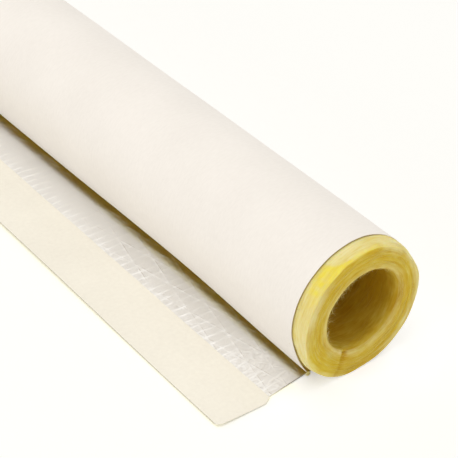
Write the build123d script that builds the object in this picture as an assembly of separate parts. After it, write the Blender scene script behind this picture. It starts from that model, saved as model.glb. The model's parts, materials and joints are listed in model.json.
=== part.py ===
from build123d import *
import os
from math import acos, cos, degrees, radians, sin

# Slit glass-wool insulation for 1 1/4 inch iron pipe, with a half-inch wall and a lapped jacket.
# Y runs along the tube, Z is up, and the origin is on the bore's axis at mid-length.
# The tube lies on its opened lap, which points towards -X. Sizes in mm, angles in degrees,
# and each angle about the tube is measured from straight down towards the lap.

# Core
pipe_diameter = 42.2
pipe_clearance = 0.4  # between pipe and bore, on the radius
wall = 12.7
core_length = 914.4
rim_round = 2.0  # outer edge of each end
mouth_round = 0.8  # edge of the bore at each end
slit_gap = 0.6
slit_angle = 26.0

# Jacket
jacket_thickness = 0.3
bare_end = 10.0  # core left uncovered at each end
lap_width = 77.2  # from under the tube's axis to the lap's outer edge
loose_from = 82.0  # where the unbonded edge leaves the core
loose_spring = 25.0  # how much wider than the core the loose edge curves
loose_lift = 3.6  # loose edge above the lap

# Release strip
strip_width = 30.7
strip_thickness = 0.15
strip_overhang = 3.0  # past the jacket at each end
strip_corner = 2.5

bore_radius = pipe_diameter / 2 + pipe_clearance
core_radius = bore_radius + wall
jacket_length = core_length - 2 * bare_end
loose_radius = core_radius + loose_spring


def around(radius, angle, centre=(0, 0)):
    """Point of the section on a circle about centre."""
    turn = radians(angle)
    return (centre[0] - radius * sin(turn), centre[1] - radius * cos(turn))


def make_core():
    """Tube turned about the bore's axis, with worn end edges, cut through on one side."""
    profile = Pos(bore_radius + wall / 2, 0) * Rectangle(wall, core_length)
    profile = fillet(profile.vertices().group_by(Axis.X)[-1], rim_round)
    profile = fillet(profile.vertices().group_by(Axis.X)[0], mouth_round)
    tube = revolve(profile, Axis.Y)
    slit_depth = core_radius + slit_gap
    slit_blade = Box(slit_gap, core_length, slit_depth, align=(Align.CENTER, Align.CENTER, Align.MAX))
    return tube - Rot(0, slit_angle, 0) * slit_blade


def sheet_side(offset, loose_to, loose_centre):
    """One face of the bent sheet, from its loose edge round the core and out along the lap."""
    loose_middle = (loose_from + loose_to) / 2
    loose_edge = around(loose_radius + offset, loose_to, loose_centre)
    loose_bend = around(loose_radius + offset, loose_middle, loose_centre)
    leaving = around(core_radius + offset, loose_from)
    over_top = around(core_radius + offset, (loose_from + 360) / 2)
    underneath = around(core_radius + offset, 360)
    lap_edge = (-lap_width, -core_radius - offset)
    return [
        ThreePointArc(loose_edge, loose_bend, leaving),
        ThreePointArc(leaving, over_top, underneath),
        Line(underneath, lap_edge),
    ]


def make_jacket():
    """One sheet: a loose edge, the bonded wrap, and a lap that leaves the tube at its lowest line."""
    loose_centre = around(core_radius - loose_radius, loose_from)
    edge_drop = core_radius - loose_lift + loose_centre[1]
    loose_to = degrees(acos(edge_drop / loose_radius))
    inner = sheet_side(0, loose_to, loose_centre)
    outer = sheet_side(jacket_thickness, loose_to, loose_centre)
    loose_end = Line(inner[0] @ 0, outer[0] @ 0)
    lap_end = Line(inner[-1] @ 1, outer[-1] @ 1)
    section = make_face(inner + outer + [loose_end, lap_end])
    return extrude(Plane.XZ * section, jacket_length / 2, both=True)


def make_release_strip():
    """Paper strip along the lap's outer edge, round-cornered and a little longer than the jacket."""
    strip_length = jacket_length + 2 * strip_overhang
    outline = RectangleRounded(strip_width, strip_length, strip_corner)
    strip = extrude(outline, strip_thickness)
    return Pos(strip_width / 2 - lap_width, 0, -core_radius) * strip


pieces = {
    "fiberglass_core": make_core(),
    "jacket": make_jacket(),
    "release_strip": make_release_strip(),
}
os.makedirs("parts", exist_ok=True)
for name, piece in pieces.items():
    piece.label = name
    export_step(piece, f"parts/{name}.step")
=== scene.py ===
import json
import math
from types import SimpleNamespace

import bpy
import numpy as np
from mathutils import Matrix, Vector


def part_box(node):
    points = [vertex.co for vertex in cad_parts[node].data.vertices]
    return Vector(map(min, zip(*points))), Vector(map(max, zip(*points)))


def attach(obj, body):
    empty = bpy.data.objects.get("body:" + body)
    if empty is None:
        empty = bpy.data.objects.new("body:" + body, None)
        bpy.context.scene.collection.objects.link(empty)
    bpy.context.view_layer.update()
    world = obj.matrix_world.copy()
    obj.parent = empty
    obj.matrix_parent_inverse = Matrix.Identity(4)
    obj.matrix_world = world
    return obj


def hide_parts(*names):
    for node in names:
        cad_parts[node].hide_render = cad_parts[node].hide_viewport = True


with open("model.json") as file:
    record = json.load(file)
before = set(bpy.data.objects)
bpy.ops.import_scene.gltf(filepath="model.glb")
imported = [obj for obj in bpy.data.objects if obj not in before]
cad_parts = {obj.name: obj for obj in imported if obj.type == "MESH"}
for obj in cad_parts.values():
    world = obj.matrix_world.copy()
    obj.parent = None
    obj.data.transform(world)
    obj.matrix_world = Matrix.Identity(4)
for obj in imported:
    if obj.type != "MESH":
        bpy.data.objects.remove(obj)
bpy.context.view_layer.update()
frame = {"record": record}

# A length of slit glass-wool pipe insulation lying on the opened lap of its paper and foil jacket.
# Metres; Y along the tube with the end in view at -Y, Z up, the lap towards -X.
# Angles about the tube are in radians from straight down, growing towards the lap.

MM = 0.001

# Sizes from the frame
core_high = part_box("fiberglass_core")[1]
jacket_low, jacket_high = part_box("jacket")
strip_low, strip_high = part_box("release_strip")
pipe_bore = next(mount for mount in frame["record"]["mounts"] if mount["name"] == "pipe_bore")
bore_radius = pipe_bore["dims"]["r_mm"] * MM
jacket_radius = jacket_high.x
core_radius = -strip_low.z
sheet_thickness = jacket_radius - core_radius
core_half = core_high.y - 0.6 * MM  # worn back at each end
jacket_half = jacket_high.y
lap_edge = jacket_low.x
floor_height = jacket_low.z

# Core
slit_angle = math.radians(26)
slit_gap = 0.6 * MM
slit_end_gap = 0.01 * MM  # the cut closes up towards each end
slit_end_depth = 45 * MM
rim_round = 0.6 * MM
rim_wear = 1.2 * MM  # more, but for the lower left
rim_wear_top = 4.5 * MM  # more again at the upper right
mouth_round = 1.6 * MM
mouth_wear = 3.0 * MM  # more at the bottom and on the right
bare_end = core_half - jacket_half
core_turns = 300  # points about the tube

# Core: the lemon patch's upper edge in degrees about the tube, and how it climbs towards the rim
patch_top = 149
patch_climb = 6
patch_rim_climb = 20

# Jacket: where the loose edge leaves the core, and in mm along the tube how wide it springs and reaches
loose_from = math.radians(82)
loose_knots = [0, 98, 285, 440, 640, 790, 894]
loose_springs = [28, 15.5, 36, 19, 31, 17, 29]
loose_lengths = [28.2, 28.0, 26.3, 27.8, 26.6, 28.0, 27.2]

# Jacket: in mm along the tube, how far the lap's outer edge curls up off the floor
curl_knots = [0, 40, 150, 300, 450, 600, 750, 894]
curl_heights = [1.0, 0.8, 1.65, 1.0, 1.6, 0.9, 1.5, 1.2]

# Jacket: how far the lap's ends are cut back where they pass under the tube
lap_cut = 2.4 * MM
lap_cut_width = 22 * MM

# Small curl of strands at the loose edge's near end, in mm from the edge's corner
tuft_offset = (-0.1, -0.5, -0.6)

# Release strip: a score line beside its inner edge, and in mm across it the reach past the jacket
strip_score = 4.5 * MM
strip_end_places = [0, 4.1, 28.8, 30.7]
strip_end_reaches = [0.7, 2.9, 2.2, 0.9]

# Foil scrim
cross_pitch = 5.0 * MM
diagonal_pitch = 46.0 * MM
diagonal_start = 37.4 * MM
diagonal_slope = math.tan(math.radians(12.3))
diagonal_stray = 2.0 * MM
rib_scale = math.pi / 10 / cross_pitch  # one band of the wave texture for each yarn

# Foil: a stretch at each end where its painted highlights and shade lines are strongest, the zones beside
# the tube, and three kinds of creases with painted white crests
end_shading_reach = (90 * MM, 190 * MM)  # fades between these
shaded_x = (-31 * MM, -25 * MM)  # painted yarn highlights fade out here, in the tube's shade
wool_reflection_x = (-29 * MM, -23 * MM)  # painted yellow of the wool's reflection sets in here
hook_count = 330
hook_band = 5 * MM  # from the release paper's edge
stroke_count = 80
stroke_from_end = (2 * MM, 34 * MM)
stroke_band = 18 * MM  # from the release paper's edge
feather_count = 300
feather_x = (-32 * MM, -24 * MM)
feather_turn = math.radians(-78)
crease_width = 0.42 * MM
shade_line_off = -0.9 * MM  # painted shade line beside a crease, offset from its crest
# grey of the painted shade lines on the foil
painted_shade_grey = (0.66, 0.63, 0.59)

# White ground: its glow far off, and the glow painted over the shadows beside the tube and along the lap's
# edge, with each one's reach
glow_far = (0.086, 0.096, 0.098)
glow_by_tube = (0.345, 0.365, 0.415)
glow_by_lap = (0.32, 0.30, 0.17)
tube_glow_width = 7 * MM
tube_glow_inset = 8 * MM
tube_glow_start = 17 * MM
tube_glow_reach = 23 * MM
lap_glow_start = 1 * MM
lap_glow_reach = 1.5 * MM

# Camera fitted to the photograph, in mm and degrees
camera_place = (-380.0, -841.15, 445.5)
camera_turn = 38.08
camera_down = 36.73
camera_roll = 1.116
camera_lens = 121.14


def noise(points, seed):
    """Smooth noise from -1 to 1 at points measured in cells."""
    cell = np.floor(points).astype(np.int64)
    part = points - cell
    ease = part * part * (3 - 2 * part)
    total = np.zeros(points.shape[:-1])
    for corner in np.ndindex(2, 2, 2):
        at = cell + corner
        mixed = at[..., 0] * 73856093 ^ at[..., 1] * 19349663 ^ at[..., 2] * 83492791 ^ seed * 97531
        mixed = (mixed ^ (mixed >> 13)) * 1274126177 & 0x7FFFFFFF
        value = (mixed >> 8 & 0xFFFF) / 32767.5 - 1
        total += value * np.prod(np.where(corner, ease, 1 - ease), axis=-1)
    return total


def rough(points, cell_size, seed, octaves=3):
    """Noise summed over halving cell sizes."""
    total = 0
    for octave in range(octaves):
        total = total + noise(points / cell_size * 2 ** octave, seed + octave) / 2 ** octave
    return total


def smooth_step(value, low, high):
    """0 below low, 1 above high, smooth between."""
    share = np.clip((value - low) / (high - low), 0, 1)
    return share * share * (3 - 2 * share)


def around(radius, angle):
    """X and Z of a point at an angle about the tube's axis."""
    return -radius * np.sin(angle), -radius * np.cos(angle)


def grid_faces(rows, columns, closed):
    """Corner numbers of a grid's quads; closed joins the last column to the first."""
    row, column = np.mgrid[0:rows - 1, 0:columns if closed else columns - 1]
    beside = (column + 1) % columns
    corners = [row * columns + column, row * columns + beside]
    corners += [(row + 1) * columns + beside, (row + 1) * columns + column]
    return np.stack(corners, -1).reshape(-1, 4)


def closed_faces(rows, columns):
    """Faces of a grid closed round its columns, with a cap over each end."""
    caps = [list(range(columns))[::-1], list(range((rows - 1) * columns, rows * columns))]
    return grid_faces(rows, columns, True).tolist() + caps


def make_piece(name, points, faces, materials, material_numbers=None, attributes=None):
    """Object from arrays, riding on the part's one body."""
    mesh = bpy.data.meshes.new(name)
    mesh.from_pydata(points.reshape(-1, 3).tolist(), [], faces)
    for material in materials:
        mesh.materials.append(material)
    if material_numbers is not None:
        mesh.polygons.foreach_set("material_index", np.asarray(material_numbers, np.int32))
    for label, values in (attributes or {}).items():
        kind = "FLOAT_VECTOR" if values.shape[-1] == 3 and values.ndim == points.ndim else "FLOAT"
        field = "vector" if kind == "FLOAT_VECTOR" else "value"
        data = mesh.attributes.new(label, kind, "POINT").data
        data.foreach_set(field, np.asarray(values, np.float32).ravel())
    mesh.polygons.foreach_set("use_smooth", np.ones(len(mesh.polygons), bool))
    mesh.set_sharp_from_angle(angle=math.radians(50))
    piece = bpy.data.objects.new(name, mesh)
    bpy.context.scene.collection.objects.link(piece)
    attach(piece, "root")
    return piece


# Materials

def add_node(tree, kind, inputs=(), **settings):
    """Shader node with its settings, and inputs given as values or as sockets to link."""
    made = tree.nodes.new("ShaderNode" + kind)
    for key, value in settings.items():
        setattr(made, key, value)
    for key, value in dict(inputs).items():
        if isinstance(value, bpy.types.NodeSocket):
            tree.links.new(value, made.inputs[key])
        else:
            made.inputs[key].default_value = value
    return made


def start_material(name, **sockets):
    """New material, its tree and its main shader with constant sockets set."""
    material = bpy.data.materials.new(name)
    material.use_nodes = True
    tree = material.node_tree
    shader = tree.nodes["Principled BSDF"]
    for key, value in sockets.items():
        shader.inputs[key.replace("_", " ")].default_value = value
    return material, tree, shader


def connect(tree, shader, **sockets):
    """Link sockets to a shader's inputs."""
    for key, socket in sockets.items():
        tree.links.new(socket, shader.inputs[key.replace("_", " ")])


def attribute(tree, label, output="Fac"):
    """Value or vector stored on the mesh's points."""
    return add_node(tree, "Attribute", attribute_name=label).outputs[output]


def combine(tree, operation, *values):
    """Result of one step of arithmetic on values."""
    return add_node(tree, "Math", enumerate(values), operation=operation).outputs[0]


def vector_step(tree, operation, *values):
    """Outputs of one step of arithmetic on vectors."""
    return add_node(tree, "VectorMath", enumerate(values), operation=operation).outputs


def stretched_noise(tree, label, scale, detail=3.0, roughness=0.55):
    """Noise over a stored coordinate, with a scale of its own along each axis, in cells per metre."""
    scaled = vector_step(tree, "MULTIPLY", attribute(tree, label, "Vector"), scale)["Vector"]
    inputs = {"Vector": scaled, "Scale": 1.0, "Detail": detail, "Roughness": roughness}
    return add_node(tree, "TexNoise", inputs).outputs["Fac"]


def ramp(tree, factor, stops):
    """Colour ramp through (place, colour) stops."""
    made = add_node(tree, "ValToRGB", {"Fac": factor})
    elements = made.color_ramp.elements
    while len(elements) < len(stops):
        elements.new(0.5)
    for element, (place, colour) in zip(elements, stops):
        element.position = place
        element.color = (*colour, 1)
    return made.outputs["Color"]


def mix(tree, factor, first, second):
    """Colour between two others."""
    first, second = (side if isinstance(side, bpy.types.NodeSocket) else (*side, 1)
                     for side in (first, second))
    return add_node(tree, "Mix", {0: factor, 6: first, 7: second}, data_type="RGBA").outputs[2]


def bump(tree, height, strength, distance):
    """Normal of a fine relief."""
    inputs = {"Height": height, "Strength": strength, "Distance": distance}
    return add_node(tree, "Bump", inputs).outputs["Normal"]


def map_range(tree, value, given, wanted):
    """Value moved from one range of numbers to another, kept within it."""
    places = zip(("From Min", "From Max", "To Min", "To Max"), (*given, *wanted))
    return add_node(tree, "MapRange", {"Value": value, **dict(places)}).outputs["Result"]


def make_paper(name, colour, shade, streak, grain, rib_strength):
    """Smooth coated paper: faint clouds and streaks, a fine grain and ribs where yarns lie behind it."""
    material, tree, shader = start_material(name, Roughness=0.5, Specular_IOR_Level=0.3)
    clouds = stretched_noise(tree, "sheet", (25, 25, 25))
    streaks = stretched_noise(tree, "sheet", streak, 2.0)
    tone = combine(tree, "MULTIPLY", combine(tree, "ADD", clouds, streaks), 0.5)
    connect(tree, shader, Base_Color=ramp(tree, tone, [(0.3, shade), (0.7, colour)]))
    fibres = stretched_noise(tree, "sheet", grain)
    place = attribute(tree, "sheet", "Vector")
    wave = {"Vector": place, "Scale": rib_scale, "Distortion": 1.5, "Detail": 2.0}
    ribs = add_node(tree, "TexWave", wave, wave_type="BANDS", bands_direction="Y").outputs["Fac"]
    ribbed = combine(tree, "MULTIPLY_ADD", ribs, rib_strength, fibres)
    connect(tree, shader, Normal=bump(tree, ribbed, 0.12, 0.05 * MM))
    return material


def make_edge():
    """Cut edge of the laminate: grey paper between the white face and the foil."""
    material, tree, shader = start_material("laminate_edge", Roughness=0.8)
    flecks = stretched_noise(tree, "sheet", (800, 800, 800))
    colours = [(0.3, (0.30, 0.27, 0.22)), (0.7, (0.46, 0.42, 0.35))]
    connect(tree, shader, Base_Color=ramp(tree, flecks, colours))
    return material


def yarn_line(tree, place, start, pitch, core, edge):
    """1 within core of yarns laid at even steps of a coordinate, falling to 0 at edge."""
    apart = combine(tree, "PINGPONG", combine(tree, "SUBTRACT", place, start), pitch / 2)
    return map_range(tree, apart, (core, edge), (1.0, 0.0))


def make_foil():
    """Aluminium foil rolled over a yarn scrim, with painted white highlights on its yarn and crease crests
    and painted shade lines beside them.
    """
    material, tree, shader = start_material("foil", Roughness=0.36)
    scrim = add_node(tree, "SeparateXYZ", {"Vector": attribute(tree, "scrim", "Vector")}).outputs
    haze = stretched_noise(tree, "sheet", (60, 25, 60))
    shown = ramp(tree, haze, [(0.3, (0.94, 0.945, 0.95)), (0.7, (0.97, 0.975, 0.98))])
    # yellow painted on the foil beside the tube for the reflection of the shaded wool
    shown = mix(tree, attribute(tree, "wool_reflection"), shown, (0.96, 0.93, 0.57))
    cross = yarn_line(tree, scrim["Z"], cross_pitch / 2, cross_pitch, 0.30 * MM, 0.62 * MM)
    # painted white highlight along the cross yarns
    yarn_glints = combine(tree, "MULTIPLY", cross, attribute(tree, "cross_highlight"))
    crossing = yarn_line(tree, scrim["Z"], cross_pitch / 2, cross_pitch, 0.4 * MM, 1.8 * MM)
    knotted = map_range(tree, crossing, (0.0, 1.0), (0.55, 1.5))
    diagonal_shading = attribute(tree, "diagonal_shading")
    # each diagonal yarn gets a painted highlight on its line and a painted shade line beside it
    for axis, shade_side, seed in (("X", 1, 3), ("Y", -1, 7)):
        gaps = stretched_noise(tree, "sheet", (60, 90, seed), 2.0)
        line = yarn_line(tree, scrim[axis], diagonal_start, diagonal_pitch, 1.0 * MM, 2.4 * MM)
        lit = combine(tree, "MULTIPLY", combine(tree, "MULTIPLY", line, knotted), diagonal_shading)
        yarn_glints = combine(tree, "MAXIMUM", yarn_glints, lit)
        shade_start = diagonal_start + shade_side * 3.2 * MM
        diagonal_shade = yarn_line(tree, scrim[axis], shade_start, diagonal_pitch, 0.3 * MM, 1.1 * MM)
        whole = map_range(tree, gaps, (0.42, 0.62), (0.0, 1.0))
        shaded = combine(tree, "MULTIPLY", combine(tree, "MULTIPLY", diagonal_shade, whole), diagonal_shading)
        shown = mix(tree, shaded, shown, painted_shade_grey)
    # painted shade lines beside the creases
    shown = mix(tree, attribute(tree, "crease_shade"), shown, painted_shade_grey)
    painted_glint = combine(tree, "MAXIMUM", yarn_glints, attribute(tree, "painted_glint"))
    painted_glint = combine(tree, "MINIMUM", painted_glint, 1.0)
    # painted highlights: matte white in place of the metal on yarn lines and creases
    colour = mix(tree, painted_glint, shown, (0.97, 0.96, 0.94))
    bare = map_range(tree, painted_glint, (0.0, 1.0), (1.0, 0.0))
    brushed = stretched_noise(tree, "sheet", (90, 900, 90))
    connect(tree, shader, Base_Color=colour, Metallic=bare, Normal=bump(tree, brushed, 0.25, 0.05 * MM))
    return material


def make_wool_lit_foil():
    """Inside of the wrap: foil tinted amber, painting the yellow light that the wool throws into the shaded
    gap under the loose edge.
    """
    material, tree, shader = start_material("wool_lit_foil", Roughness=0.45, Metallic=1.0)
    film = stretched_noise(tree, "sheet", (120, 120, 120))
    colours = [(0.3, (0.92, 0.86, 0.36)), (0.7, (0.97, 0.93, 0.48))]
    connect(tree, shader, Base_Color=ramp(tree, film, colours), Normal=bump(tree, film, 0.2, 0.1 * MM))
    return material


def make_wool():
    """Yellow glass wool: wound layers on the cut ends, a paler skin, lemon patches, a painted highlight on
    the top rim, amber painted as shade in the depths, amber streaks.
    """
    material, tree, shader = start_material("glass_wool", Roughness=0.9, Specular_IOR_Level=0.1,
                                            Subsurface_Weight=0.4, Subsurface_Scale=0.002,
                                            Subsurface_Radius=(1.0, 0.7, 0.2))
    fibres = stretched_noise(tree, "wound", (130, 1300, 1300), 3.0, 0.6)
    layers = stretched_noise(tree, "wound", (45, 620, 300), 3.0, 0.55)
    blotches = stretched_noise(tree, "wound", (90, 160, 120), 2.0, 0.5)
    coarse = combine(tree, "MULTIPLY_ADD", blotches, 0.6, layers)
    summed = combine(tree, "ADD", coarse, fibres)
    tone = combine(tree, "MULTIPLY", summed, 1 / 2.6)
    cut = ramp(tree, tone, [(0.36, (0.54, 0.32, 0.02)), (0.45, (0.63, 0.425, 0.032)),
                            (0.53, (0.67, 0.495, 0.06)), (0.64, (0.73, 0.60, 0.15))])
    skin = ramp(tree, tone, [(0.36, (0.74, 0.59, 0.17)), (0.5, (0.80, 0.70, 0.30)),
                             (0.64, (0.85, 0.78, 0.41))])
    rich = ramp(tree, tone, [(0.36, (0.82, 0.66, 0.04)), (0.64, (0.88, 0.77, 0.09))])
    shade_and_streaks = ramp(tree, tone, [(0.36, (0.455, 0.24, 0.005)), (0.64, (0.62, 0.385, 0.017))])
    shown = mix(tree, attribute(tree, "skin"), cut, skin)
    # lemon patch, with the top rim's painted highlight
    shown = mix(tree, attribute(tree, "patch"), shown, rich)
    # amber painted as shade in the bore, beside the slit and under the jacket's edge, and amber streaks
    shown = mix(tree, attribute(tree, "shade_and_streaks"), shown, shade_and_streaks)
    connect(tree, shader, Base_Color=shown, Normal=bump(tree, summed, 0.22, 0.2 * MM))
    return material


def make_fibre():
    """Loose glass strands, from amber where painted shade darkens them in the depths to pale on the
    outside.
    """
    material, tree, shader = start_material("glass_strand", Roughness=0.5, Specular_IOR_Level=0.3)
    colours = [(0.0, (0.50, 0.32, 0.03)), (0.5, (0.70, 0.55, 0.13)), (1.0, (0.84, 0.76, 0.36))]
    connect(tree, shader, Base_Color=ramp(tree, attribute(tree, "tint"), colours))
    return material


white_paper = make_paper("jacket_paper", (0.925, 0.878, 0.82), (0.86, 0.813, 0.755), (300, 900, 300),
                         (400, 2500, 400), 0.7)
release_paper = make_paper("release_paper", (0.95, 0.91, 0.80), (0.875, 0.832, 0.727), (500, 500, 500),
                           (900, 900, 900), 0.1)
laminate_edge = make_edge()
foil = make_foil()
wool_lit_foil = make_wool_lit_foil()
glass_wool = make_wool()
glass_strand = make_fibre()


# Core

def graded(low, high, fine, coarse, fine_reach):
    """Places from low to high, close together near both ends and wide apart between."""
    reach = np.arange(0, fine_reach, fine)
    middle = np.linspace(low + fine_reach, high - fine_reach, int((high - low - 2 * fine_reach) / coarse))
    return np.concatenate([low + reach, middle, (high - reach)[::-1]])


def arc(radius_at, length_at, size, first, last, count):
    """Rows of (radius, length, normal out, normal along) on a round of the core's section."""
    turn = np.radians(np.linspace(first, last, count))
    return np.stack([radius_at + size * np.cos(turn), length_at + size * np.sin(turn),
                     np.cos(turn), np.sin(turn)], -1)


def straight(radius, length, normal):
    """Rows of (radius, length, normal out, normal along) on a straight stretch of the section."""
    radius, length = np.broadcast_arrays(radius, length)
    out, along = np.full(radius.shape, normal[0]), np.full(radius.shape, normal[1])
    return np.stack([radius, length, out, along], -1)


def core_section():
    """Closed section of the core's wall: outside, near end, bore, far end."""
    outside = graded(-core_half + rim_round, core_half - rim_round, 0.7 * MM, 16 * MM, 15 * MM)[::-1]
    bore = graded(-core_half + mouth_round, core_half - mouth_round, 1.5 * MM, 9 * MM, 45 * MM)
    face = np.linspace(core_radius - rim_round, bore_radius + mouth_round, 24)
    rim, mouth = core_radius - rim_round, bore_radius + mouth_round
    return np.concatenate([
        straight(core_radius, outside, (1, 0)),
        arc(rim, rim_round - core_half, rim_round, 0, -90, 8)[1:-1],
        straight(face, -core_half, (0, -1)),
        arc(mouth, mouth_round - core_half, mouth_round, -90, -180, 6)[1:-1],
        straight(bore_radius, bore, (-1, 0)),
        arc(mouth, core_half - mouth_round, mouth_round, 180, 90, 6)[1:-1],
        straight(face[::-1], core_half, (0, 1)),
        arc(rim, core_half - rim_round, rim_round, 90, 0, 8)[1:-1],
    ])


def window(angle, low, rise, fall, high):
    """1 from rise to fall, 0 outside low and high, in degrees from straight down, -180 to 180."""
    turned = (np.degrees(angle) + 180) % 360 - 180
    return smooth_step(turned, low, rise) * (1 - smooth_step(turned, fall, high))


def wool_lift(radius, length, angle):
    """How far the wool stands off its plain form, along the normal."""
    x, z = around(radius, angle)
    place = np.stack([x, length, z], -1)
    wound = np.stack([angle * core_radius / 14, radius, length / 3], -1)
    lumps = 0.13 * MM * rough(place, 9 * MM, 3)
    layers = 0.11 * MM * rough(wound, 1.7 * MM, 11, 2)
    tufts = 0.04 * MM * rough(place, 1.2 * MM, 23, 2)
    return lumps + layers + tufts


def end_swell(angle, from_end):
    """How far a bare end swells past the plain radius: a little all round, most beside the slit."""
    tucked = 1 - smooth_step(from_end, bare_end - 2.5 * MM, bare_end - 0.3 * MM)
    fluff = (0.1 + 0.2 * window(angle, -120, -90, -20, 0)) * MM * tucked
    under_edge = smooth_step(from_end, 4 * MM, bare_end)
    opened = (1 - under_edge) * window(angle, -4, 18, 54, 90) + under_edge * window(angle, -4, 18, 42, 72)
    reach = 1 - smooth_step(from_end, 14 * MM, 70 * MM)
    return fluff + opened * reach * (1.3 + 0.8 * smooth_step(from_end, 0.5 * MM, 5 * MM)) * MM


def worn_mouth(radius, from_end, angle):
    """Radius and depth with the bore's mouth rounded off, most at the bottom and on the right."""
    size = mouth_round + mouth_wear * window(angle, -150, -100, 10, 40)
    to_radius, to_depth = radius - bore_radius - size, from_end - size
    corner = (to_radius < 0) & (to_depth < 0)
    pull = np.where(corner, size / np.maximum(np.hypot(to_radius, to_depth), size), 1)
    return bore_radius + size + to_radius * pull, size + to_depth * pull


def worn_rim(radius, from_end, angle):
    """Radius and depth with the outer rim rounded off, most at the upper right."""
    crisp = window(angle, -75, -40, 135, 170)
    upper_right = window(angle, -176, -152, -122, -98)
    size = rim_round + rim_wear * (1 - crisp) + rim_wear_top * upper_right
    to_radius, to_depth = radius - core_radius + size, size - from_end
    corner = (to_radius > 0) & (to_depth > 0)
    pull = np.where(corner, size / np.maximum(np.hypot(to_radius, to_depth), size), 1)
    return core_radius - size + to_radius * pull, size - to_depth * pull


def patch_edge(angle, from_end, place):
    """Degrees past the upper edge of the lemon patch, which climbs towards the rim."""
    toward_end = np.clip(1 - from_end / bare_end, 0, 1)
    edge = patch_top + patch_climb * toward_end + patch_rim_climb * toward_end ** 4
    return np.degrees(angle) - edge + 3 * rough(place, 4 * MM, 43, 2)


def core_grid():
    """The worn core before its wool stands off: each point's place, the way it faces and what is near."""
    section = core_section()
    turns = np.linspace(0, 1, core_turns)[:, None]
    shape = len(turns), len(section)
    radius, length, out, along = (np.broadcast_to(column, shape) for column in section.T)
    from_end = core_half - np.abs(length)
    gap = slit_gap + (slit_end_gap - slit_gap) * (1 - smooth_step(from_end, 0, slit_end_depth))
    slit_half = gap / 2 / radius
    angle = slit_angle + slit_half + (2 * math.pi - 2 * slit_half) * turns
    radius, from_end = worn_rim(*worn_mouth(radius, from_end, angle), angle)
    length = np.sign(length) * (core_half - from_end)
    grid = SimpleNamespace(turns=turns, radius=radius, length=length, angle=angle, from_end=from_end,
                           out=out, along=along)
    grid.to_slit = np.minimum(turns, 1 - turns) * 2 * math.pi * radius
    grid.inward = 1 - smooth_step(radius, bore_radius + 1 * MM, bore_radius + 8 * MM)
    grid.outward = smooth_step(radius, bore_radius + 2 * MM, core_radius - rim_round)
    grid.on_end = np.abs(along) > 0.3
    grid.under_jacket = smooth_step(from_end, 6 * MM, 12 * MM) * (out > 0.9)
    grid.near_band = (length < 0) * (1 - grid.under_jacket)
    x, z = around(radius, angle)
    grid.past_patch = patch_edge(angle, from_end, np.stack([x, length, z], -1))
    return grid


def core_points(grid):
    """Points of the wool off its plain form, and the same places laid out along its winding."""
    lift = wool_lift(grid.radius, grid.length, grid.angle) * (1 - grid.under_jacket)
    notch = (0.2 + 1.3 * grid.inward) * np.exp(-(grid.to_slit / (1.5 * MM)) ** 2)
    lift = lift - notch * MM * grid.on_end
    above_patch = smooth_step(grid.past_patch, -0.6, 0.6) * window(grid.angle, 120, 140, 172, 179)
    lift = lift + 0.2 * MM * above_patch * (grid.out > 0.5) * grid.near_band
    flat_out, flat_along = np.abs(grid.out) < 0.5, np.abs(grid.along) < 0.5
    inside = (grid.out < -0.5) | (flat_out & flat_along)
    swell = end_swell(grid.angle, grid.from_end) * np.where(inside, 0, grid.outward)
    radius = grid.radius + lift * grid.out + swell
    length = grid.length + lift * grid.along
    x, z = around(radius, grid.angle)
    points = np.stack([x, length, np.maximum(z, floor_height + 0.05 * MM)], -1)
    wound = np.stack([grid.angle * core_radius, radius, length], -1)
    return points, wound


def pale_rim(grid, ragged):
    """How pale the cut end is near its rim: wide on both sides, a narrow edge at the lower left."""
    on_right = window(grid.angle, -175, -150, -40, -10)
    on_left = window(grid.angle, 75, 110, 120, 150)
    low_left = window(grid.angle, 5, 30, 80, 110)
    wide = smooth_step(grid.radius + 4 * MM * ragged, core_radius - 5 * MM, core_radius - 1.5 * MM)
    narrow = smooth_step(grid.radius + 2 * MM * ragged, core_radius - 2.4 * MM, core_radius - 0.6 * MM)
    return np.maximum(wide * (on_right + 1.1 * on_left), narrow * low_left)


def pale_wool(grid, ragged, rim):
    """How pale the wool is: the bare band's skin, the cut end's rim and a ring round the bore."""
    skin = smooth_step(grid.out + ragged, 0.35, 0.8) * (1 - smooth_step(grid.from_end, 11 * MM, 18 * MM))
    ring = np.exp(-((grid.radius - bore_radius - 0.8 * MM) / (2.2 * MM)) ** 2)
    pale = np.maximum(0.75 * rim, 0.45 * ring * (1 + 2 * ragged))
    return np.clip(skin + pale * grid.on_end, 0, 1)


def lemon_and_rim_highlight(grid, ragged):
    """How lemon yellow the near end is: a patch on the band, the top rim partly painted as a highlight, the
    lower left.
    """
    turned = np.degrees(grid.angle)
    below_edge = 1 - smooth_step(grid.past_patch, -3.5, 1.0)
    faded = smooth_step(turned + 60 * ragged, 115, 152)
    patch = below_edge * faded * smooth_step(grid.out + ragged, 0.35, 0.95) * grid.near_band
    along_top = smooth_step(turned, 150, 172) * (1 - smooth_step(turned, 212, 240))
    beside_rim = np.exp(-((grid.from_end - 0.4 * MM) / (1.6 * MM)) ** 2)
    # the wool's lemon colour along the top rim, with a painted highlight where the rim turns up to the
    # light
    rim_highlight = 0.6 * beside_rim * along_top * (grid.out > 0.1)
    low_rich = 0.28 * window(grid.angle, 22, 34, 62, 90) * grid.outward * (np.abs(grid.along) > 0.5)
    return 0.85 * np.maximum(patch, np.maximum(rim_highlight, low_rich) * grid.near_band)


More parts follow.
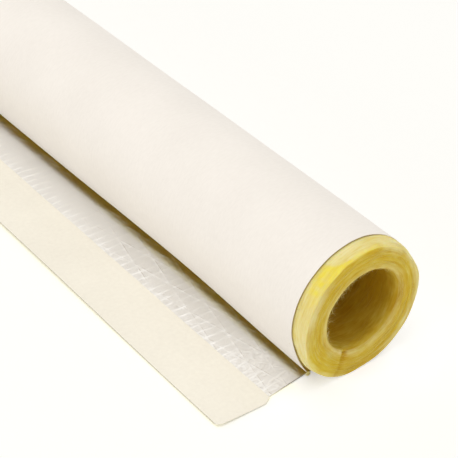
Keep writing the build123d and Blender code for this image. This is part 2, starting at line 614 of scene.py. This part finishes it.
def wool_shade_and_streaks(grid, wound, rim):
    """How much amber the wool takes: painted shade in the bore, beside the slit and under the jacket's
    edge, and amber streaks on the cut end.
    """
    # painted shade, darker deeper into the bore and lighter at the mouth near the bottom
    by_mouth = 1 - smooth_step(grid.from_end, 8 * MM, 40 * MM)
    bore_deep = 0.4 + 0.6 * smooth_step(grid.from_end, 0, 13 * MM)
    bore_deep = bore_deep - 0.3 * window(grid.angle, -75, -40, 30, 70) * by_mouth
    in_bore = smooth_step(-grid.out, 0.2, 0.9) * bore_deep
    # painted shade in the slit and beside it
    beside = np.where(grid.turns > 0.5, 2.2 * MM, 0.9 * MM)
    shade_and_streaks = in_bore + (0.5 + 0.5 * grid.inward) * np.exp(-(grid.to_slit / beside) ** 2) * grid.on_end
    streaks = smooth_step(noise(wound / [15 * MM, 0.9 * MM, 2 * MM], 45), 0.1, 0.7)
    on_right = window(grid.angle, -179, -150, -10, 20)
    shade_and_streaks = shade_and_streaks + 0.5 * streaks * (np.abs(grid.along) > 0.5) * (1 - rim) * on_right
    # painted shade on the wool just under the jacket's edge
    covered = smooth_step(grid.from_end, bare_end - 0.8 * MM, bare_end + 1 * MM)
    return np.clip(shade_and_streaks + 0.55 * (grid.out > 0.9) * covered, 0, 1)


def make_core():
    """Slit tube of wool with soft rims, uneven layers and a fluffed bore edge."""
    grid = core_grid()
    points, wound = core_points(grid)
    ragged = 0.25 * rough(points, 3 * MM, 41)
    rim = pale_rim(grid, ragged)
    attributes = {
        "wound": wound,
        "skin": pale_wool(grid, ragged, rim),
        # the lemon patch also carries the top rim's painted highlight
        "patch": lemon_and_rim_highlight(grid, ragged),
        # amber painted as shade, with amber streaks
        "shade_and_streaks": wool_shade_and_streaks(grid, wound, rim),
    }
    faces = closed_faces(*points.shape[:2])
    piece = make_piece("wool_core", points, faces, [glass_wool], attributes=attributes)
    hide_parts("fiberglass_core")


def tube_faces(strands, steps):
    """Faces of three-sided closed tubes, each a run of steps rings."""
    ring = grid_faces(steps, 3, True)
    ends = np.array([[2, 1, 0], [3 * steps - 3, 3 * steps - 2, 3 * steps - 1]])
    starts = np.arange(strands)[:, None, None] * 3 * steps
    return (starts + ring).reshape(-1, 4).tolist() + (starts + ends).reshape(-1, 3).tolist()


def make_strands(name, paths, width, tint):
    """Thin glass strands along paths, tapering to both ends."""
    strands, steps = paths.shape[:2]
    ahead = np.gradient(paths, axis=1)
    ahead /= np.linalg.norm(ahead, axis=-1, keepdims=True) + 1e-9
    side = np.cross(ahead, [0.31, 0.52, 0.79])
    side /= np.linalg.norm(side, axis=-1, keepdims=True) + 1e-9
    over = np.cross(ahead, side)
    taper = np.sin(np.linspace(0.12, math.pi - 0.12, steps))[None, :, None] * width[:, None, None] / 2
    turns = np.array([0, 2, 4]) * math.pi / 3
    rings = [paths + taper * (math.cos(turn) * side + math.sin(turn) * over) for turn in turns]
    points = np.stack(rings, 2)
    tints = np.broadcast_to(tint[:, None, None], points.shape[:3])
    piece = make_piece(name, points, tube_faces(strands, steps), [glass_strand], attributes={"tint": tints})


class EndStrands:
    """Loose strands of one cut end, all drawn from one run of random numbers."""

    steps = np.linspace(-0.5, 0.5, 7)[None, :]

    def __init__(self, side, seed):
        self.side = side
        self.random = np.random.default_rng(seed)

    def spread(self, low, high, count):
        """One number for each strand."""
        return self.random.uniform(low, high, (count, 1))

    def wound(self, count, low, high, reach, drift, stand, turn=(0, 360)):
        """Radius and angle along strands that follow the winding, and how far they bow off it."""
        middle = np.radians(self.spread(*turn, count))
        radius = self.spread(low, high, count) + self.spread(-drift, drift, count) * self.steps
        angle = middle + self.spread(*reach, count) / radius * self.steps
        bow = self.spread(0, stand, count) * (0.4 + 2.4 * self.steps ** 2)
        return radius, angle, bow

    def placed(self, radius, angle, from_end):
        """Points carried along with the worn rim and kept above the floor."""
        base_radius, base_depth = np.minimum(radius, core_radius), np.maximum(from_end, 0)
        worn_radius, worn_depth = worn_rim(base_radius, base_depth, angle)
        radius, from_end = radius + worn_radius - base_radius, from_end + worn_depth - base_depth
        x, z = around(radius, angle)
        return np.stack([x, self.side * (core_half - from_end), np.maximum(z, floor_height + 0.1 * MM)], -1)

    def on_face(self, count):
        """Strands over the wound layers of the cut face."""
        radius, angle, bow = self.wound(count, bore_radius + mouth_round, core_radius - rim_round,
                                        (4 * MM, 14 * MM), 1.4 * MM, 0.3 * MM)
        lift = wool_lift(radius, np.full(radius.shape, self.side * core_half), angle)
        return self.placed(radius, angle, -lift - bow)

    def in_bore(self, count):
        """Strands on the bore's wall."""
        radius, angle, bow = self.wound(count, bore_radius - 0.2 * MM, bore_radius, (5 * MM, 20 * MM),
                                        0.1 * MM, 0.4 * MM)
        depth = self.spread(2 * MM, 60 * MM, count) + self.spread(-8 * MM, 8 * MM, count) * self.steps
        return self.placed(radius - bow, angle, np.maximum(depth, mouth_round))

    def on_band(self, count, low, high, reach, stand, turn=(0, 360)):
        """Strands on the bare band, between two distances from the end."""
        radius, angle, bow = self.wound(count, core_radius - 0.15 * MM, core_radius, reach,
                                        0.1 * MM, stand, turn)
        depth = self.spread(low, high, count) + self.spread(-4 * MM, 4 * MM, count) * self.steps
        from_end = np.maximum(depth, 0.3 * MM)
        return self.placed(radius + end_swell(angle, from_end) + bow, angle, from_end)

    def on_rim(self, count):
        """Fuzz that stands out from the outer rim."""
        radius, angle, bow = self.wound(count, core_radius - 1.6 * MM, core_radius - 0.5 * MM,
                                        (0.5 * MM, 3 * MM), 0.1 * MM, 0.1 * MM)
        outward = (self.steps + 0.5) ** 2 * self.spread(0.3 * MM, 1.8 * MM, count)
        forward = (self.steps + 0.5) * self.spread(-1.2 * MM, 0.5 * MM, count)
        radius = radius + outward + end_swell(angle, 0 * angle)
        return self.placed(radius, angle, 0.6 * MM - forward - bow)

    def in_mouth(self, count, turn, longest):
        """Hairs that reach into the bore from its mouth."""
        radius, angle, bow = self.wound(count, bore_radius + 0.3 * MM, bore_radius + 1.5 * MM,
                                        (-4 * MM, 4 * MM), 0.2 * MM, 0.3 * MM, turn)
        inward = (self.steps + 0.5) ** 1.5 * self.spread(0.2 * MM, longest, count)
        return self.placed(radius - inward, angle, 0.2 * MM - bow)


def make_end_strands(name, side, seed):
    """Loose strands on one cut end, in groups with a range of tints each."""
    end = EndStrands(side, seed)
    by_jacket = bare_end - 3 * MM, bare_end + 2 * MM
    # lower tints are darker: strands in the bore and by the jacket's edge are painted dark for the shade
    # they lie in
    groups = [
        (end.on_face(300), 0.35, 0.8),
        (end.in_bore(260), 0.0, 0.35),
        (end.on_band(260, 0.5 * MM, bare_end, (4 * MM, 14 * MM), 0.3 * MM), 0.7, 1.0),
        (end.on_band(160, *by_jacket, (1 * MM, 4 * MM), 1.4 * MM, (33, 72)), 0.1, 0.5),
        (end.on_rim(700), 0.55, 1.0),
        (end.in_mouth(90, (0, 360), 1.6 * MM), 0.4, 0.9),
        (end.in_mouth(80, (60, 190), 2.2 * MM), 0.5, 1.0),
        (end.in_mouth(26, (95, 150), 5.0 * MM), 0.3, 0.8),
    ]
    paths = np.concatenate([group for group, low, high in groups])
    tints = np.concatenate([end.random.uniform(low, high, len(group)) for group, low, high in groups])
    make_strands(name, paths, end.random.uniform(0.05 * MM, 0.10 * MM, len(paths)), tints)


def make_tuft():
    """Small curl of pale strands caught at the near end of the jacket's loose edge."""
    random = np.random.default_rng(19)
    near = np.array([-jacket_half])
    edge = wrap_points(-eased(near, loose_knots, loose_lengths), near, 0)[0]
    middle = edge + np.array(tuft_offset) * MM
    count = 26
    turn = random.uniform(0, 2 * math.pi, (count, 1)) + np.linspace(0, 4.5, 9)[None, :]
    size = random.uniform(0.5 * MM, 1.3 * MM, (count, 1)) * np.linspace(1, 0.7, 9)[None, :]
    lean = random.uniform(-0.5, 0.5, (count, 1))
    shift = random.normal(0, 0.22 * MM, (count, 1, 3))
    loop = np.stack([size * np.cos(turn) * 1.2, size * lean, size * np.sin(turn) * 0.8], -1)
    make_strands("corner_tuft", middle + shift + loop, np.full(count, 0.22 * MM), np.full(count, 1.0))


# Jacket

def eased(length, knots, values):
    """Values given in mm at knots along the tube, eased between them, at places along it."""
    place = (length + jacket_half) / MM
    number = np.clip(np.searchsorted(knots, place, "right") - 1, 0, len(knots) - 2)
    knots, given = np.array(knots), np.array(values)
    share = smooth_step(place, knots[number], knots[number + 1])
    return (given[number] + (given[number + 1] - given[number]) * share) * MM


def wrap_points(across, length, offset):
    """Points of the wrapped sheet; across is 0 where it leaves the core, offset is from its inner face."""
    curve = core_radius + eased(length, loose_knots, loose_springs)
    bend_x, bend_z = around(core_radius - curve, loose_from)
    loose_x, loose_z = around(curve + offset, loose_from + across / curve)
    wrap_x, wrap_z = around(core_radius + offset, loose_from + across / core_radius)
    x = np.where(across < 0, bend_x + loose_x, wrap_x)
    z = np.where(across < 0, bend_z + loose_z, wrap_z)
    return np.stack([x, length, z], -1)


def sheet_faces(rows, half):
    """Faces of a closed sheet whose rows hold half points of its front and then half of its back."""
    columns = 2 * half
    step = np.arange(half - 1)
    cap = np.stack([step, step + 1, columns - 2 - step, columns - 1 - step], -1)
    return np.concatenate([grid_faces(rows, columns, True), cap[:, ::-1], cap + (rows - 1) * columns])


def make_wrap():
    """White outside of the jacket, from its loose edge round the core to the line under the tube."""
    wrap_length = (2 * math.pi - loose_from) * core_radius
    rows = graded(-jacket_half, jacket_half, 1.0 * MM, 3.2 * MM, 12 * MM)
    length = rows[:, None]
    loose = np.linspace(-1, 0, 18)[None, :-1] * eased(length, loose_knots, loose_lengths)
    wrapped = np.broadcast_to(np.linspace(0, wrap_length, 105), (len(rows), 105))
    across = np.concatenate([loose, wrapped], 1)
    flat = np.stack(np.broadcast_arrays(across, length, 0 * across), -1)
    to_end = jacket_half - np.abs(length)
    turned = np.degrees(loose_from + across / core_radius)
    held = smooth_step(turned, 165, 200) * (1 - smooth_step(to_end, 0, 40 * MM))
    over_top = smooth_step(wrap_length - across, 0, 20 * MM)
    swell = 0.10 * MM * (1 + rough(flat, 45 * MM, 5, 2)) * over_top * (1 - held)
    gaping = smooth_step(turned, 60, 95) * (1 - smooth_step(turned, 185, 215))
    swell = swell + 0.5 * MM * gaping * (1 - smooth_step(to_end, 0, 18 * MM))
    frayed = 0.08 * MM * rough(flat, 7 * MM, 9)
    shifted = length + frayed * np.sign(length) * (1 - smooth_step(to_end, 0, 3 * MM))
    outer = wrap_points(across, shifted, sheet_thickness + swell)
    inner = wrap_points(across, shifted, swell)
    points = np.concatenate([outer, inner[:, ::-1]], 1)
    sheet = np.concatenate([flat, flat[:, ::-1]], 1)
    count, half = across.shape
    faces = sheet_faces(count, half)
    numbers = np.zeros(len(faces), int)
    numbers[:(count - 1) * 2 * half].reshape(count - 1, 2 * half)[:, half:-1] = 1
    piece = make_piece("jacket_wrap", points, faces.tolist(), [white_paper, wool_lit_foil], numbers,
                       {"sheet": sheet})
    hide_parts("jacket")


def yarn(distance, width):
    """Rounded ridge over a yarn at a distance from its middle."""
    return np.exp(-(distance / width) ** 2)


def lap_lift(x, length):
    """How far the lap's outer edge and ends curl up off the floor."""
    curl = eased(length, curl_knots, curl_heights) * np.exp((lap_edge - x) / (14 * MM))
    to_end = np.maximum(jacket_half - np.abs(length), 0)
    return curl + 0.1 * MM * np.exp(-to_end / (7 * MM))


def crease_strokes(x, length, count, low, high, reach, toward, lean, seed, beside=0):
    """Short bent creases strewn over a box: 1 along each crest or a line beside it, fading to its ends."""
    random = np.random.default_rng(seed)
    total = np.zeros(x.shape)
    for _ in range(count):
        middle = random.uniform(low, high)
        half = random.uniform(*reach) / 2
        turn = random.normal(toward, lean)
        bow = random.uniform(-0.9, 0.9) * MM
        firm = random.uniform(0.5, 1.3)
        near = np.abs(length - middle[1]) < 2 * half + 3 * MM
        across, along = x[near] - middle[0], length[near] - middle[1]
        share = (across * math.cos(turn) + along * math.sin(turn)) / half
        off = along * math.cos(turn) - across * math.sin(turn) - bow * share ** 2 - beside
        shown = firm * yarn(off, crease_width) * np.clip(1 - share ** 2, 0, 1)
        total[near] = np.maximum(total[near], shown)
    return total


def crests_and_shade_lines(x, length, count, low, high, reach, lean, seed):
    """Creases that run across the lap, and the painted shade lines beside their crests."""
    return [crease_strokes(x, length, count, low, high, reach, 0, lean, seed, beside)
            for beside in (0, shade_line_off)]


def handled_creases(x, length):
    """Hooks along the release paper's edge, strokes at both ends, and the painted shade lines beside both.
    """
    edge = strip_high.x
    low, high = (edge, -jacket_half), (edge + hook_band, jacket_half)
    hooks, shade_lines = crests_and_shade_lines(x, length, hook_count, low, high, (2 * MM, 6 * MM), 0.5, 51)
    strokes = np.zeros(x.shape)
    for side, seed in ((-1, 53), (1, 54)):
        ends = [side * (jacket_half - reach) for reach in stroke_from_end]
        low, high = (edge, min(ends)), (edge + stroke_band, max(ends))
        crests, sides = crests_and_shade_lines(x, length, stroke_count, low, high, (3 * MM, 9 * MM), 0.6, seed)
        strokes, shade_lines = np.maximum(strokes, crests), np.maximum(shade_lines, sides)
    return hooks, strokes, shade_lines


def tube_feathers(x, length, from_end):
    """Long crease marks in the foil beside the tube, painted only as highlight streaks, fewer at the ends.
    """
    low, high = (feather_x[0], -jacket_half), (feather_x[1], jacket_half)
    feathers = crease_strokes(x, length, feather_count, low, high, (5 * MM, 15 * MM),
                              feather_turn, 0.08, 55)
    return feathers * (0.45 + 0.55 * smooth_step(from_end, 20 * MM, 60 * MM))


def cross_yarn_highlights(x, number, from_paper):
    """How strong each cross yarn's painted highlight is: brightest beside the release paper, each with its
    own reach.
    """
    by_yarn = np.stack([number * 0.71, 0 * x, 0 * x + 0.5], -1)
    firm = 2.6 + 1.4 * noise(by_yarn, 33)
    bright_reach = (5 + 3 * noise(by_yarn, 34)) * MM
    faint_reach = (12 + 5 * noise(by_yarn, 35)) * MM
    return np.maximum(firm * (1.2 - from_paper / bright_reach), 1.4 * (1 - from_paper / faint_reach))


def foil_relief(x, length):
    """Height of the foil over its scrim, and the stored values its painted highlights and shade lines are
    drawn from.
    """
    flat = np.stack(np.broadcast_arrays(x, length, 0 * x), -1)
    from_paper = x - strip_high.x
    from_end = jacket_half - np.abs(length)
    # painted highlights and shade lines are strongest in a stretch at each end
    end_shading = 1 - smooth_step(from_end, *end_shading_reach)
    slants = []
    for slope, seed in ((diagonal_slope, 36), (-diagonal_slope, 37)):
        slants.append(x / slope + length + diagonal_stray * noise(flat / (30 * MM), seed))
    wobbled = length + 0.6 * MM * noise(flat / (6 * MM), 39)
    patchy = 0.9 + 0.9 * noise(flat / (3 * MM), 38)
    shaded = smooth_step(x, *shaded_x)
    cross_highlight = np.maximum(cross_yarn_highlights(x, np.floor(length / cross_pitch), from_paper), 0.3 * end_shading)
    cross_highlight = np.clip(cross_highlight * np.clip(patchy, 0.3, 1.5), 0, 1) * (1 - 0.8 * shaded)
    # strength of the diagonals' painted highlights and shade lines
    diagonal_shading = np.clip((0.08 + end_shading) * patchy, 0, 1) * (1 - 0.75 * shaded)
    hooks, strokes, shade_lines = handled_creases(x, length)
    feathers = tube_feathers(x, length, from_end)
    from_yarn = length % cross_pitch - cross_pitch / 2
    relief = 0.09 * MM * yarn(from_yarn, 0.4 * MM) * (0.35 + 0.65 * cross_highlight)
    relief = relief + 0.10 * MM * strokes + 0.05 * MM * hooks + 0.05 * MM * noise(flat / (14 * MM), 57)
    # faint painted lightening of the foil beside the release paper
    painted_light_by_paper = 0.06 * (1 - smooth_step(from_paper, 4 * MM, 18 * MM))
    values = {
        "scrim": np.stack([*slants, wobbled], -1),
        "cross_highlight": cross_highlight,
        "diagonal_shading": diagonal_shading,
        # painted highlights on hooks, strokes and feathers, and the lightening beside the paper
        "painted_glint": np.maximum(np.maximum(0.9 * hooks, strokes), np.maximum(painted_light_by_paper, 0.42 * feathers)),
        "wool_reflection": smooth_step(x, *wool_reflection_x),
        "crease_shade": 0.35 * shade_lines * end_shading,
    }
    return relief, values


def lap_rows():
    """Places along the tube of the lap's rows, close together over each yarn and at the crumpled ends."""
    count = int(jacket_half / cross_pitch)
    yarns = (np.arange(-count, count) + 0.5) * cross_pitch
    beside = np.array([-1.6, -0.7, -0.35, 0, 0.35, 0.7, 1.6]) * MM
    ends = np.linspace(0, 18 * MM, 40)
    middle = (yarns[:, None] + beside).ravel()
    middle = middle[np.abs(middle) < jacket_half - 18 * MM]
    return np.concatenate([ends - jacket_half, middle, jacket_half - ends[::-1]])


def make_lap():
    """Lap lying on the floor, foil side up, from the line under the tube to its outer edge."""
    strip_inner = strip_high.x
    top_x = np.concatenate([
        np.linspace(0, -20 * MM, 6)[:-1],
        np.arange(-20 * MM, strip_inner - 2 * MM, -0.5 * MM),
        np.linspace(strip_inner - 2.6 * MM, lap_edge, 7),
    ])
    x, length = np.meshgrid(top_x, lap_rows())
    flat = np.stack([x, length, 0 * x], -1)
    open_foil = smooth_step(-x, 10 * MM, 20 * MM) * smooth_step(x, strip_inner - 4 * MM, strip_inner)
    from_end = jacket_half - np.abs(length)
    sway = 0.6 * MM * noise(flat / [12 * MM, 18 * MM, 1], 31) * smooth_step(from_end, 0, 12 * MM)
    by_tube = np.clip((x - strip_inner) / lap_cut_width, 0, 1)
    cut = lap_cut * by_tube * (1 - smooth_step(from_end, 0, 30 * MM))
    sway = sway - np.sign(length) * cut
    lift = lap_lift(x, length)
    relief, values = foil_relief(x, length)
    upper = np.stack([x, length + sway, lift - core_radius + relief * open_foil], -1)
    lower = np.stack([x, length + sway, lift + floor_height], -1)[:, ::-1][:, [0, 2, 5, -6, -1]]
    points = np.concatenate([upper, lower], 1)
    attributes = {"sheet": points * [1, 1, 0]}
    for label, value in values.items():
        faded = value if value.ndim == 3 else value * open_foil
        attributes[label] = np.concatenate([faded, np.zeros((*lower.shape[:2], *value.shape[2:]))], 1)
    count, columns = points.shape[:2]
    number = np.zeros((count - 1, columns), int)
    number[:, :len(top_x) - 1] = 1
    number[:, len(top_x) - 1] = 2
    faces = closed_faces(count, columns)
    numbers = np.concatenate([number.ravel(), [2, 2]])
    piece = make_piece("jacket_lap", points, faces, [white_paper, foil, laminate_edge], numbers, attributes)
    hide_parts("jacket")


def make_strip():
    """Release paper on the lap: a loose inner margin, both ends cut aslant past the jacket."""
    inner, outer = strip_high.x, strip_low.x
    width = inner - outer
    score = strip_score / width
    across = np.concatenate([np.linspace(0, score, 8), np.linspace(score, 1, 18)[1:]])[None, :]
    along = np.linspace(-1, 1, 560)[:, None]
    from_inner = across * width
    past = np.interp(from_inner, np.array(strip_end_places) * MM, np.array(strip_end_reaches) * MM)
    length = along * (jacket_half + past)
    flat = np.stack(np.broadcast_arrays(from_inner, length, 0 * length), -1)
    nicks = 0.10 * MM * rough(flat * [0, 1, 0], 7 * MM, 61) * (1 - smooth_step(from_inner, 0, 2 * MM))
    x = inner - from_inner + nicks
    margin = 1 - smooth_step(from_inner, strip_score - 0.5 * MM, strip_score + 0.3 * MM)
    wave = margin * (0.10 + 0.06 * noise(flat / (40 * MM), 63)) * MM
    lift = lap_lift(x, length) + wave + 0.02 * MM * noise(flat / (15 * MM), 65)
    x, length, lift = np.broadcast_arrays(x, length, lift)
    upper = np.stack([x, length, strip_high.z + lift], -1)
    lower = np.stack([x, length, strip_low.z + lift + 0.02 * MM], -1)
    points = np.concatenate([upper, lower[:, ::-1]], 1)
    piece = make_piece("release_paper_strip", points, sheet_faces(*x.shape).tolist(), [release_paper],
                       attributes={"sheet": points * [1, 1, 0]})
    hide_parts("release_strip")


# Stage

def around_box(tree, place, low, high, start, reach):
    """1 up to start away from a box on the floor, falling off over reach beyond it."""
    middle = [(a + b) / 2 for a, b in zip(low, high)]
    half = [(b - a) / 2 for a, b in zip(low, high)]
    off = vector_step(tree, "SUBTRACT", place, (*middle, 0))["Vector"]
    off = vector_step(tree, "ABSOLUTE", off)["Vector"]
    off = vector_step(tree, "SUBTRACT", off, (*half, 1))["Vector"]
    off = vector_step(tree, "MAXIMUM", off, (0, 0, 0))["Vector"]
    away = vector_step(tree, "LENGTH", off)["Value"]
    power = combine(tree, "DIVIDE", combine(tree, "SUBTRACT", start, away), reach)
    return combine(tree, "MINIMUM", combine(tree, "EXPONENT", power), 1.0)


def make_floor():
    """Pale floor that reads as the white ground and keeps the object's shadow, lightened by glow painted
    near the tube and the lap's edge.
    """
    reach = 4.0
    corners = [(-reach, -reach), (reach, -reach), (reach, reach), (-reach, reach)]
    mesh = bpy.data.meshes.new("floor")
    mesh.from_pydata([(x, y, floor_height - 0.02 * MM) for x, y in corners], [], [(0, 1, 2, 3)])
    floor = bpy.data.objects.new("floor", mesh)
    bpy.context.scene.collection.objects.link(floor)
    material = bpy.data.materials.new("ground")
    material.use_nodes = True
    tree = material.node_tree
    tree.nodes.clear()
    diffuse = add_node(tree, "BsdfDiffuse", {"Color": (0.92, 0.91, 0.885, 1)})
    path = add_node(tree, "LightPath")
    seen = path.outputs["Is Camera Ray"]
    for label in ("Is Glossy Ray", "Is Transmission Ray"):
        seen = combine(tree, "MAXIMUM", seen, path.outputs[label])
    place = add_node(tree, "TexCoord").outputs["Object"]
    tube_end = core_half - tube_glow_inset
    by_tube = around_box(tree, place, (0, -tube_end), (tube_glow_width, tube_end),
                         tube_glow_start, tube_glow_reach)
    by_lap = around_box(tree, place, (lap_edge, -jacket_half), (-core_radius, jacket_half),
                        lap_glow_start, lap_glow_reach)
    # painted light over the floor's shadows beside the tube and along the lap's edge
    colour = mix(tree, by_tube, glow_far, glow_by_tube)
    colour = mix(tree, by_lap, colour, glow_by_lap)
    glow = add_node(tree, "Emission", {"Color": colour, "Strength": seen})
    total = add_node(tree, "AddShader", {0: diffuse.outputs[0], 1: glow.outputs[0]})
    add_node(tree, "OutputMaterial", {"Surface": total.outputs[0]})
    mesh.materials.append(material)


def add_soft_box(name, place, size, energy):
    """Large area lamp aimed at the near half of the tube."""
    lamp = bpy.data.lights.new(name, "AREA")
    lamp.shape = "RECTANGLE"
    lamp.size, lamp.size_y = size
    lamp.energy = energy
    lamp.color = (1.0, 0.985, 0.96)
    box = bpy.data.objects.new(name, lamp)
    box.location = place
    aim = Vector((0, -0.2, 0)) - box.location
    box.rotation_euler = aim.to_track_quat("-Z", "Y").to_euler()
    bpy.context.scene.collection.objects.link(box)


def make_lights():
    """Even studio light: a pale surround, a large soft box overhead and a weak one on the lap's side."""
    world = bpy.data.worlds.new("studio")
    world.use_nodes = True
    background = world.node_tree.nodes["Background"]
    background.inputs["Color"].default_value = (1.0, 0.99, 0.97, 1)
    background.inputs["Strength"].default_value = 0.81
    bpy.context.scene.world = world
    add_soft_box("overhead", (-0.2, -0.3, 1.6), (0.8, 1.2), 5.8)
    add_soft_box("lap_side", (-1.6, -0.3, 0.4), (1.2, 0.7), 2.3)


def make_camera():
    """Camera at the photograph's place, in front of the near end on the lap's side."""
    camera = bpy.data.cameras.new("camera")
    camera.sensor_width = 36
    camera.lens = camera_lens
    camera.clip_start = 0.01
    eye = bpy.data.objects.new("camera", camera)
    spin = Matrix.Rotation(math.radians(-camera_turn), 4, "Z")
    spin = spin @ Matrix.Rotation(math.radians(90 - camera_down), 4, "X")
    spin = spin @ Matrix.Rotation(math.radians(camera_roll), 4, "Z")
    eye.matrix_world = Matrix.Translation(Vector(camera_place) * MM) @ spin
    bpy.context.scene.collection.objects.link(eye)
    bpy.context.scene.camera = eye


make_core()
make_end_strands("near_strands", -1, 7)
make_end_strands("far_strands", 1, 8)
make_tuft()
make_wrap()
make_lap()
make_strip()
make_floor()
make_lights()
make_camera()

bpy.context.scene.view_settings.view_transform = "Standard"
